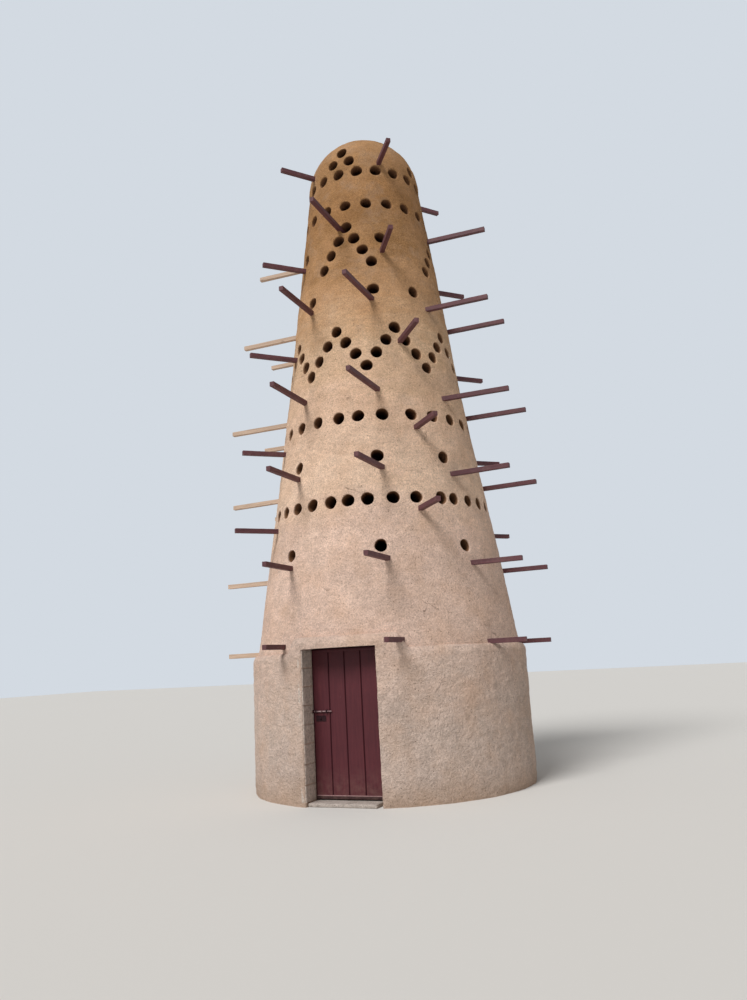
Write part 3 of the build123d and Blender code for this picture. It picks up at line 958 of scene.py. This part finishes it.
def srgb(code):
    """Linear colour of a hex code."""
    values = [int(code[k : k + 2], 16) / 255 for k in (0, 2, 4)]
    return [v / 12.92 if v <= 0.04045 else ((v + 0.055) / 1.055) ** 2.4 for v in values] + [1.0]


class Nodes:
    """Makes and joins the nodes of one tree."""

    def __init__(self, tree):
        self.tree = tree

    def node(self, kind, settings=(), values=(), **inputs):
        """A new node. values go to its first sockets in turn, and inputs to the sockets of those names."""
        made = self.tree.nodes.new(kind)
        for name, value in dict(settings).items():
            setattr(made, name, value)
        for socket, value in zip(made.inputs, values):
            self.feed(socket, value)
        for name, value in inputs.items():
            self.feed(made.inputs[name.replace("_", " ")], value)
        return made

    def feed(self, socket, value):
        if isinstance(value, bpy.types.NodeSocket):
            self.tree.links.new(value, socket)
        else:
            socket.default_value = value

    def maths(self, operation, *values):
        return self.node("ShaderNodeMath", {"operation": operation}, values).outputs[0]


class Paint(Nodes):
    """A material while it is put together: its colour so far, and what the shader gets at the end."""

    def __init__(self, name, roughness, specular=0.5, metallic=0.0):
        self.material = bpy.data.materials.new(name)
        self.material.use_nodes = True
        super().__init__(self.material.node_tree)
        self.shader = self.tree.nodes["Principled BSDF"]
        self.shader.inputs["Roughness"].default_value = roughness
        self.shader.inputs["Specular IOR Level"].default_value = specular
        self.shader.inputs["Metallic"].default_value = metallic
        self.place = self.node("ShaderNodeTexCoord").outputs["Object"]
        self.colour = None

    def height(self):
        return self.node("ShaderNodeSeparateXYZ", Vector=self.place).outputs["Z"]

    def stretched(self, scale, vector=None):
        settings = {"vector_type": "POINT"}
        return self.node("ShaderNodeMapping", settings, Vector=vector or self.place, Scale=scale).outputs[0]

    def noises(self, scale, detail, roughness, vector=None, distortion=0.0):
        """The outputs of a noise texture."""
        made = self.node("ShaderNodeTexNoise", Vector=vector or self.place, Scale=scale, Detail=detail)
        made.inputs["Roughness"].default_value = roughness
        made.inputs["Distortion"].default_value = distortion
        return made.outputs

    def noise(self, scale, detail=2.0, roughness=0.5, vector=None, distortion=0.0):
        return self.noises(scale, detail, roughness, vector, distortion)["Fac"]

    def bent(self, scale, detail, roughness, reach):
        """Places pushed aside by noise, by about half of reach."""
        values = self.noises(scale, detail, roughness)["Color"], (reach, reach, reach), self.place
        return self.node("ShaderNodeVectorMath", {"operation": "MULTIPLY_ADD"}, values).outputs[0]

    def streaks(self, stretch, detail, roughness, vector=None):
        """Noise drawn out unevenly."""
        return self.noise(1.0, detail, roughness, self.stretched(stretch, vector))

    def cells(self, scale, vector, feature="F1"):
        return self.node("ShaderNodeTexVoronoi", {"feature": feature}, Vector=vector, Scale=scale).outputs

    def flecks(self, stretch, size, vector=None):
        """Drawn-out spots: 1 inside one, and 0 outside."""
        distance = self.cells(1.0, self.stretched(stretch, vector))["Distance"]
        return self.maths("LESS_THAN", distance, size)

    def specks(self, scale, size, share):
        """Small ragged spots: 1 inside one, and 0 outside. share of the cells have one."""
        cells = self.cells(scale, self.bent(scale * 2.5, 3.0, 0.7, 0.55 / scale))
        spot = self.maths("LESS_THAN", cells["Distance"], size)
        pick = self.node("ShaderNodeSeparateColor", Color=cells["Color"]).outputs["Red"]
        return self.maths("MULTIPLY", spot, self.maths("LESS_THAN", pick, share))

    def cracks(self, scale, width, share):
        """Thin wandering lines that come and go: 1 on a line and 0 beside it."""
        vector = self.bent(scale * 3.0, 5.0, 0.65, 0.35 / scale)
        edge = self.cells(scale, vector, "DISTANCE_TO_EDGE")["Distance"]
        line = self.span(edge, width * 0.3, width, 1.0, 0.0)
        return self.maths("MULTIPLY", line, self.span(self.noise(scale * 0.9, 2), 1 - share, 1.06 - share))

    def span(self, value, low, high, to_low=0.0, to_high=1.0):
        """A value taken from one range to another, and held there."""
        made = self.node("ShaderNodeMapRange", {"clamp": True}, Value=value)
        for name, number in (("From Min", low), ("From Max", high), ("To Min", to_low), ("To Max", to_high)):
            made.inputs[name].default_value = number
        return made.outputs["Result"]

    def even(self, noise, low=0.0, high=1.0):
        """Noise, which keeps to its middle, spread over a range."""
        return self.span(noise, 0.3, 0.7, low, high)

    def plus(self, value, *parts):
        """A value with others added to it, each part being (value, share)."""
        for part, share in parts:
            value = self.maths("MULTIPLY_ADD", part, share, value)
        return value

    def mix(self, share, first, second, blend="MIX"):
        made = self.node("ShaderNodeMix", {"data_type": "RGBA", "blend_type": blend}, Factor=share)
        self.feed(made.inputs[6], first)
        self.feed(made.inputs[7], second)
        return made.outputs[2]

    def ramp(self, value, *stops):
        """Starts the colour from a value and (position, colour) stops."""
        made = self.node("ShaderNodeValToRGB", Fac=value)
        elements = made.color_ramp.elements
        while len(elements) < len(stops):
            elements.new(0.5)
        for element, (position, code) in zip(elements, stops):
            element.position = position
            element.color = srgb(code)
        self.colour = made.outputs["Color"]

    def shade(self, *amounts):
        """Makes the colour lighter or darker by amounts of about 1."""
        amount = amounts[0]
        for other in amounts[1:]:
            amount = self.maths("MULTIPLY", amount, other)
        grey = self.node("ShaderNodeCombineColor", Red=amount, Green=amount, Blue=amount).outputs[0]
        self.colour = self.mix(1.0, self.colour, grey, "MULTIPLY")

    def coat(self, code, share, strength=1.0):
        """Lays a colour over the one so far, as far as share times strength says."""
        if strength < 1.0:
            share = self.maths("MULTIPLY", share, strength)
        self.colour = self.mix(share, self.colour, srgb(code))

    def finish(self, relief=None, rise=0.0, strength=1.0, roughness=None):
        """Gives the shader the colour and any relief and roughness. Returns the material."""
        self.feed(self.shader.inputs["Base Color"], self.colour)
        if relief is not None:
            bump = self.node("ShaderNodeBump", Height=relief, Distance=rise, Strength=strength)
            self.feed(self.shader.inputs["Normal"], bump.outputs["Normal"])
        if roughness is not None:
            self.feed(self.shader.inputs["Roughness"], roughness)
        return self.material


def plaster_material(name, stops, lump_scale, lump_height, lump_shade, low_stain):
    """Earth plaster that changes colour with height, with lumps, grit, straw, pits and fine cracks, and
    painted shade in the hollows of its lumps and grit.

    Where the mesh says that a point lies deep in a hole or inside the tower, it goes dark with painted
    shade."""
    paint = Paint(name, 0.95, 0.12)
    height = paint.height()
    drift = paint.maths("SUBTRACT", paint.noise(0.6, 4, 0.6), 0.5)
    streaks = paint.maths("SUBTRACT", paint.streaks((1.3, 1.3, 5.5), 5, 0.6), 0.5)
    level = paint.plus(height, (drift, 2.0), (streaks, 1.3))
    paint.ramp(paint.span(level, 0.0, COLOUR_TOP), *((z / COLOUR_TOP, code) for z, code in stops))

    lumps = paint.noise(lump_scale, 5, 0.62)
    grains = paint.noise(lump_scale * 2.6, 5, 0.75)
    patches = paint.even(paint.noise(1.5, 6, 0.62, distortion=0.5), 0.89, 1.09)
    blotches = paint.even(paint.noise(8.0, 6, 0.66), 0.88, 1.1)
    # Partly painted shade: darker in the hollows and lighter on the crests of the same lumps and grains that
    # make the relief; partly the grit's own colour
    lump_hollow_shade = paint.span(lumps, 0.33, 0.64, 1 - lump_shade, 1 + 0.55 * lump_shade)
    marks = paint.even(paint.streaks((9.0, 9.0, 25.0), 5, 0.65), 0.9, 1.1)
    paint.shade(patches, blotches, lump_hollow_shade, paint.even(grains, 0.7, 1.26), marks)
    paint.coat("c79c78", paint.span(paint.noise(2.6, 4, 0.6), 0.45, 0.72, 0.0, 0.3))
    paint.coat("bda999", paint.span(paint.noise(3.7, 5, 0.65), 0.52, 0.75, 0.0, 0.25))
    if low_stain:
        paint.coat("b08f72", paint.span(paint.plus(height, (drift, 0.5)), 0.0, 0.3, 0.45, 0.0))

    pits = paint.specks(34.0, 0.19, 0.17)
    pinholes = paint.specks(75.0, 0.22, 0.24)
    cracks = paint.cracks(2.3, 0.006, 0.38)
    paint.coat("e8d3a8", paint.flecks((70.0, 70.0, 330.0), 0.15), 0.45)
    paint.coat("8c6c4f", paint.flecks((260.0, 260.0, 62.0), 0.15), 0.45)
    paint.coat("604634", pits, 0.55)
    paint.coat("6d5342", pinholes, 0.5)
    paint.coat("6a4f3c", cracks, 0.6)

    # Painted shade: the colour turns dark brown down each hole and on the tower's inner faces, where shade
    # falls
    depth = paint.node("ShaderNodeAttribute", {"attribute_name": "depth"}).outputs["Fac"]
    paint.coat("8a6549", paint.span(depth, 0.003, 0.024))
    paint.coat("4e3225", paint.span(depth, 0.025, 0.18))
    relief = paint.plus(lumps, (grains, 0.4), (pits, -0.4), (pinholes, -0.15), (cracks, -0.35))
    return paint.finish(relief, lump_height)


def timber_material(name, face, edge, worn, worn_share, dusty):
    """Sawn timber seen along its own grain, painted or bare."""
    paint = Paint(name, 0.6, 0.35)
    grain = paint.node("ShaderNodeAttribute", {"attribute_name": "grain"}).outputs["Vector"]
    fibres = paint.streaks((75.0, 3.0, 75.0), 6, 0.7, grain)
    chips = paint.streaks((42.0, 11.0, 42.0), 5, 0.75, grain)
    paint.ramp(paint.even(fibres), (0.0, edge), (1.0, face))
    paint.shade(paint.even(paint.streaks((22.0, 1.4, 22.0), 3, 0.5, grain), 0.86, 1.14))
    paint.coat(worn, paint.span(chips, 0.655, 0.69), worn_share)
    paint.coat("b79684", paint.span(paint.noise(11.0, 5, 0.65), 0.5, 0.78, 0.0, dusty))
    paint.coat("3c2320", paint.flecks((16.0, 3.2, 16.0), 0.1, grain), 0.45)
    roughness = paint.span(fibres, 0.2, 0.8, 0.48, 0.74)
    return paint.finish(paint.plus(fibres, (chips, 0.35)), 0.0016, roughness=roughness)


def door_material(name, face, dark, roughness):
    """Brushed oil paint on sheet steel, dusty low down and chipped in places."""
    paint = Paint(name, roughness, 0.25)
    brush = paint.streaks((48.0, 48.0, 3.0), 5, 0.65)
    paint.ramp(paint.even(brush), (0.0, dark), (1.0, face))
    paint.shade(paint.even(paint.noise(2.4, 4, 0.6), 0.9, 1.1))
    low = paint.span(paint.height(), 0.04, 0.4, 0.2, 0.0)
    dust = paint.maths("MULTIPLY", low, paint.span(paint.noise(14.0, 5, 0.65), 0.35, 0.7))
    paint.coat("a98a7a", dust)
    paint.coat("8a635e", paint.maths("GREATER_THAN", paint.noise(44.0, 4, 0.7), 0.735), 0.4)
    orange_peel = paint.plus(brush, (paint.noise(260.0, 2), 0.3))
    dull = paint.plus(paint.span(brush, 0.2, 0.8, roughness - 0.1, roughness + 0.1), (dust, 0.3))
    return paint.finish(orange_peel, 0.0006, 0.7, dull)


def worn_steel_material(name):
    """Bolt rod rubbed to pale steel, with paint and rust left in spots."""
    paint = Paint(name, 0.42, metallic=0.2)
    rub = paint.noise(38.0, 5, 0.6)
    paint.ramp(paint.even(rub), (0.0, "6d5052"), (0.45, "957a7b"), (1.0, "b39c9c"))
    paint.coat("6d4446", paint.maths("GREATER_THAN", paint.noise(85.0, 3, 0.6), 0.64), 0.6)
    return paint.finish(rub, 0.0006, 0.5, paint.even(rub, 0.6, 0.32))


def concrete_material(name, light, dark, height):
    """Cast or pressed concrete with fine voids and crumbs of mortar."""
    paint = Paint(name, 0.92, 0.2)
    sand = paint.noise(150.0, 4, 0.75)
    voids = paint.specks(75.0, 0.24, 0.45)
    crumbs = paint.noise(34.0, 6, 0.65)
    paint.ramp(paint.even(paint.noise(13.0, 6, 0.68)), (0.0, dark), (1.0, light))
    paint.shade(paint.even(sand, 0.8, 1.15))
    paint.coat("54473e", voids, 0.6)
    paint.shade(paint.span(crumbs, 0.35, 0.65, 0.72, 1.12))
    return paint.finish(paint.plus(crumbs, (sand, 0.3), (voids, -0.35)), height)


def plain_material(name, code):
    """Painted shade, dark red-brown, in the grooves of the door and under the doorway's head."""
    paint = Paint(name, 0.8, 0.1)
    paint.colour = srgb(code)
    paint.coat("3a1c20", paint.even(paint.noise(40.0, 4, 0.6), 0.0, 0.3))
    return paint.finish()


# Plaster colours by height in metres: pinkish below, ochre above, brownest below the top rings
COLOUR_TOP = 9.0
WALL_COLOURS = [
    (1.5, "e2c4b3"),
    (2.8, "e5c6b3"),
    (3.6, "ecccb2"),
    (4.4, "e2bfa4"),
    (5.3, "dab795"),
    (6.1, "c79b72"),
    (6.8, "a87e54"),
    (7.3, "a3784e"),
    (7.9, "ad8258"),
    (9.0, "b58b62"),
]
DRUM_COLOURS = [(0.0, "cfbaad"), (0.9, "d7c1b3"), (1.8, "e3c6b5")]

wall_plaster = plaster_material(
    "wall_plaster", WALL_COLOURS, lump_scale=54.0, lump_height=0.014, lump_shade=0.26, low_stain=False
)
drum_plaster = plaster_material(
    "drum_plaster", DRUM_COLOURS, lump_scale=40.0, lump_height=0.024, lump_shade=0.17, low_stain=True
)
painted_timber = timber_material("painted_timber", "6a4145", "4c2c31", "b79b90", 0.6, 0.12)
bare_timber = timber_material("bare_timber", "cfb6a0", "ad917b", "dfd0c1", 0.4, 0.1)
door_paint = door_material("door_paint", "58282d", "4b2027", 0.5)
# Painted shade: the leaf's foot rail, the bolt's guides and the hasp are made this dark to stand for the
# shade on and round them
dark_painted_shade = door_material("dark_painted_shade", "2e1117", "240c11", 0.6)
# Partly painted highlight along the lit top of the foot rail, and partly rubbed paint
rubbed_paint_and_highlight = door_material("rubbed_paint_and_highlight", "a58686", "8c6a6b", 0.6)
seam_shadow = plain_material("seam_shadow", "35131a")
# Painted shade on the underside of the doorway's head, where it lies in shade
head_painted_shade = plain_material("head_painted_shade", "30131a")
worn_steel = worn_steel_material("worn_steel")
step_concrete = concrete_material("step_concrete", "c6bab1", "a89c92", 0.006)
block_concrete = concrete_material("block_concrete", "e6d7cb", "c4b4a7", 0.016)


# Pieces


def nodes_named(*starts):
    """The CAD nodes whose names start in one of these ways."""
    return [name for name in nodes if name.startswith(starts)]


lower_wall = wall_shell(lower_outside, lower_inside, DRUM_HEIGHT, WAIST_HEIGHT, 1)
piece = lower_wall.build("plaster_lower_wall", [wall_plaster], 50)
place(piece, "masonry", "earth_plaster", *nodes_named("lower_wall_"))

upper_wall = wall_shell(upper_outside, upper_inside, WAIST_HEIGHT, SPRING_HEIGHT + DOME_RISE, 2)
piece = upper_wall.build("plaster_upper_wall_and_dome", [wall_plaster], 50)
place(piece, "masonry", "earth_plaster", "dome", *nodes_named("upper_wall_"))

piece = drum_shell().build("plaster_drum", [drum_plaster, head_painted_shade], 50)
place(piece, "masonry", "drum_plaster", *nodes_named("drum_wall_", "door_jamb_", "door_lintel"))

for level in range(len(PERCH_LEVELS)):
    shell, grain = pole_shell(level, 100 + level)
    piece = shell.build("timber_poles_level_%02d" % (level + 1), [painted_timber, bare_timber], 35)
    attribute = piece.data.attributes.new("grain", "FLOAT_VECTOR", "POINT")
    attribute.data.foreach_set("vector", grain.astype(np.float32).ravel())
    place(piece, "masonry", "painted_timber", "perch_poles_level_%02d" % (level + 1))

piece = reveal_shell().build("reveal_blocks", [block_concrete], 40)
place(piece, "masonry", "bare_concrete")

piece = threshold_shell().build("concrete_step", [step_concrete], 40)
place(piece, "masonry", "bare_concrete", "threshold")

piece = leaf_shell().build("steel_door_leaf", [door_paint, seam_shadow, dark_painted_shade, rubbed_paint_and_highlight], 35)
place(piece, "door", "door_paint", "door_leaf")

FINISHES = {
    "door_frame": door_paint,
    "hinge_pins": door_paint,
    "hinge_sleeves": door_paint,
    "bolt_guides": dark_painted_shade,
    "padlock_hasp": dark_painted_shade,
    "sliding_bolt": worn_steel,
}
for name, finish in FINISHES.items():
    node = nodes[name]
    if not node.material_slots:
        node.data.materials.append(finish)
    for slot in node.material_slots:
        slot.material = finish


# Floor, light and camera

FLOOR_HALF, SKY_STRENGTH, BACKDROP = 60.0, 0.31, "d3dae2"
floor_mesh = bpy.data.meshes.new("floor")
corners = ((-1, -1), (1, -1), (1, 1), (-1, 1))
floor_mesh.from_pydata([(FLOOR_HALF * x, FLOOR_HALF * y, 0) for x, y in corners], [], [(0, 1, 2, 3)])
floor = bpy.data.objects.new("floor", floor_mesh)
bpy.context.scene.collection.objects.link(floor)
floor_paint = Paint("floor_paint", 0.9)
floor_paint.colour = srgb("d9d6d1")
floor_mesh.materials.append(floor_paint.finish())

world = bpy.data.worlds.new("studio")
bpy.context.scene.world = world
world.use_nodes = True
world.node_tree.nodes.clear()
studio = Nodes(world.node_tree)
rays = studio.node("ShaderNodeLightPath").outputs
seen = studio.maths("MAXIMUM", rays["Is Camera Ray"], rays["Is Glossy Ray"])
lit = studio.node("ShaderNodeBackground", Color=srgb("ffffff"), Strength=SKY_STRENGTH).outputs[0]
backdrop = studio.node("ShaderNodeBackground", Color=srgb(BACKDROP), Strength=1.0).outputs[0]
either = studio.node("ShaderNodeMixShader", (), (seen, lit, backdrop))
studio.node("ShaderNodeOutputWorld", Surface=either.outputs[0])


def soft_sun(name, azimuth, elevation, strength, size):
    """A broad lamp far away, from an azimuth and elevation in degrees."""
    lamp = bpy.data.lights.new(name, "SUN")
    lamp.energy = strength
    lamp.angle = math.radians(size)
    turn, rise = math.radians(azimuth), math.radians(elevation)
    toward = Vector((math.sin(turn) * math.cos(rise), -math.cos(turn) * math.cos(rise), math.sin(rise)))
    holder = bpy.data.objects.new(name, lamp)
    holder.rotation_mode = "QUATERNION"
    holder.rotation_quaternion = toward.to_track_quat("Z", "Y")
    bpy.context.scene.collection.objects.link(holder)


soft_sun("key", azimuth=-12.0, elevation=46.0, strength=2.6, size=24.0)

yaw, pitch, roll = CAMERA_YAW, CAMERA_PITCH, CAMERA_ROLL
ahead = Vector((math.sin(yaw) * math.cos(pitch), math.cos(yaw) * math.cos(pitch), math.sin(pitch)))
level_right = Vector((math.cos(yaw), -math.sin(yaw), 0.0))
level_up = level_right.cross(ahead)
right = math.cos(roll) * level_right - math.sin(roll) * level_up
up = math.sin(roll) * level_right + math.cos(roll) * level_up
swing = Matrix.Rotation(CAMERA_AZIMUTH, 3, "Z")
axes = Matrix((swing @ right, swing @ up, swing @ -ahead)).transposed()
camera = bpy.data.objects.new("camera", bpy.data.cameras.new("camera"))
camera.data.sensor_width = SENSOR_WIDTH
camera.data.lens = FOCAL_SHARE * SENSOR_WIDTH
camera.data.clip_end = FARTHEST
camera.matrix_world = Matrix.Translation(CAMERA_PLACE) @ axes.to_4x4()
bpy.context.scene.collection.objects.link(camera)
bpy.context.scene.camera = camera

bpy.context.scene.view_settings.view_transform = "Standard"
